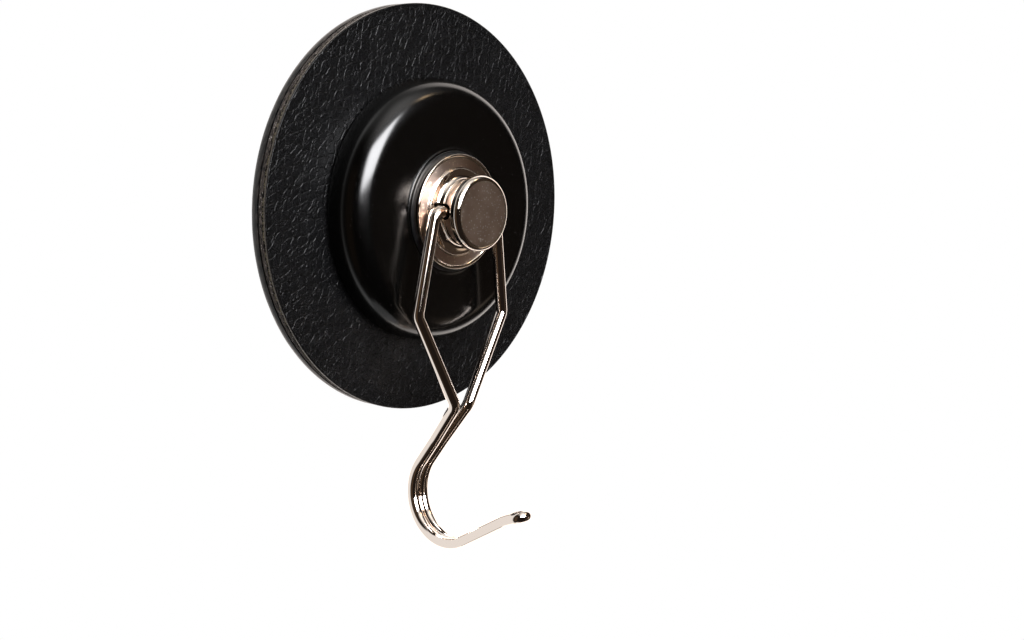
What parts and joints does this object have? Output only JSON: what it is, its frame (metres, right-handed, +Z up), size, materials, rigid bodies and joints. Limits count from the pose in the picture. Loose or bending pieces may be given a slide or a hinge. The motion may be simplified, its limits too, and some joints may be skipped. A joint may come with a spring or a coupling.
{
  "type": "magnetic wall hook",
  "caption": "Leather-faced disc that sticks to a wall, a glossy black magnet foot on it, and a nickel swivel knob carrying a wire bail that ends in an upturned hook.",
  "frame": {"origin": "centre of the disc's back face, on the wall", "axes": "+Z up, +Y into the wall, so the hook stands out towards -Y; the swivel's axis is Y"},
  "size_m": [0.065, 0.0286, 0.0864],
  "materials": {
    "adhesive_foam": "smooth black closed-cell foam tape",
    "sheet_steel": "rolled sheet steel",
    "fibre_backing": "grey speckled fibre board",
    "foam_layer": "dark pitted foam",
    "leather": "black pebble-grained leather, satin",
    "gloss_housing": "high-gloss black moulded plastic",
    "liner_rubber": "matt black rubber",
    "zinc_steel": "bright zinc-plated steel",
    "magnet": "dark grey sintered ferrite",
    "spacer_plastic": "off-white moulded plastic",
    "black_acetal": "black turned acetal",
    "nickel_plate": "warm nickel plate, polished, with a blasted head face",
    "nickel_wire": "warm nickel plate on drawn wire, mirror bright"
  },
  "bodies": {
    "wall_disc": {"adhesive_foam": "adhesive_foam", "steel_disc": "sheet_steel", "fibre_backing": "fibre_backing", "foam_layer": "foam_layer", "leather_skin": "leather"},
    "magnet_foot": {"foot_cover": "gloss_housing", "foot_liner": "liner_rubber", "yoke_cup": "zinc_steel", "ring_magnet": "magnet", "magnet_spacer": "spacer_plastic", "bearing_bush": "black_acetal", "thrust_washer": "black_acetal"},
    "swivel": {"swivel_knob": "nickel_plate", "retaining_washer": "zinc_steel", "retaining_screw": "zinc_steel"},
    "bail": {"bail_wire": "nickel_wire"}
  },
  "joints": [
    {"name": "magnet_pull_off", "type": "slide", "parent": "wall_disc", "child": "magnet_foot", "axis": [0, -1, 0], "range_m": [0, 0.03]},
    {"name": "swivel_spin", "type": "hinge", "parent": "magnet_foot", "child": "swivel", "pos_m": [0, -0.00985, 0], "axis": [0, -1, 0], "continuous": true},
    {"name": "bail_swing", "type": "hinge", "parent": "swivel", "child": "bail", "pos_m": [0, -0.0123, 0], "axis": [-1, 0, 0], "range_deg": [-4, 172]}
  ]
}
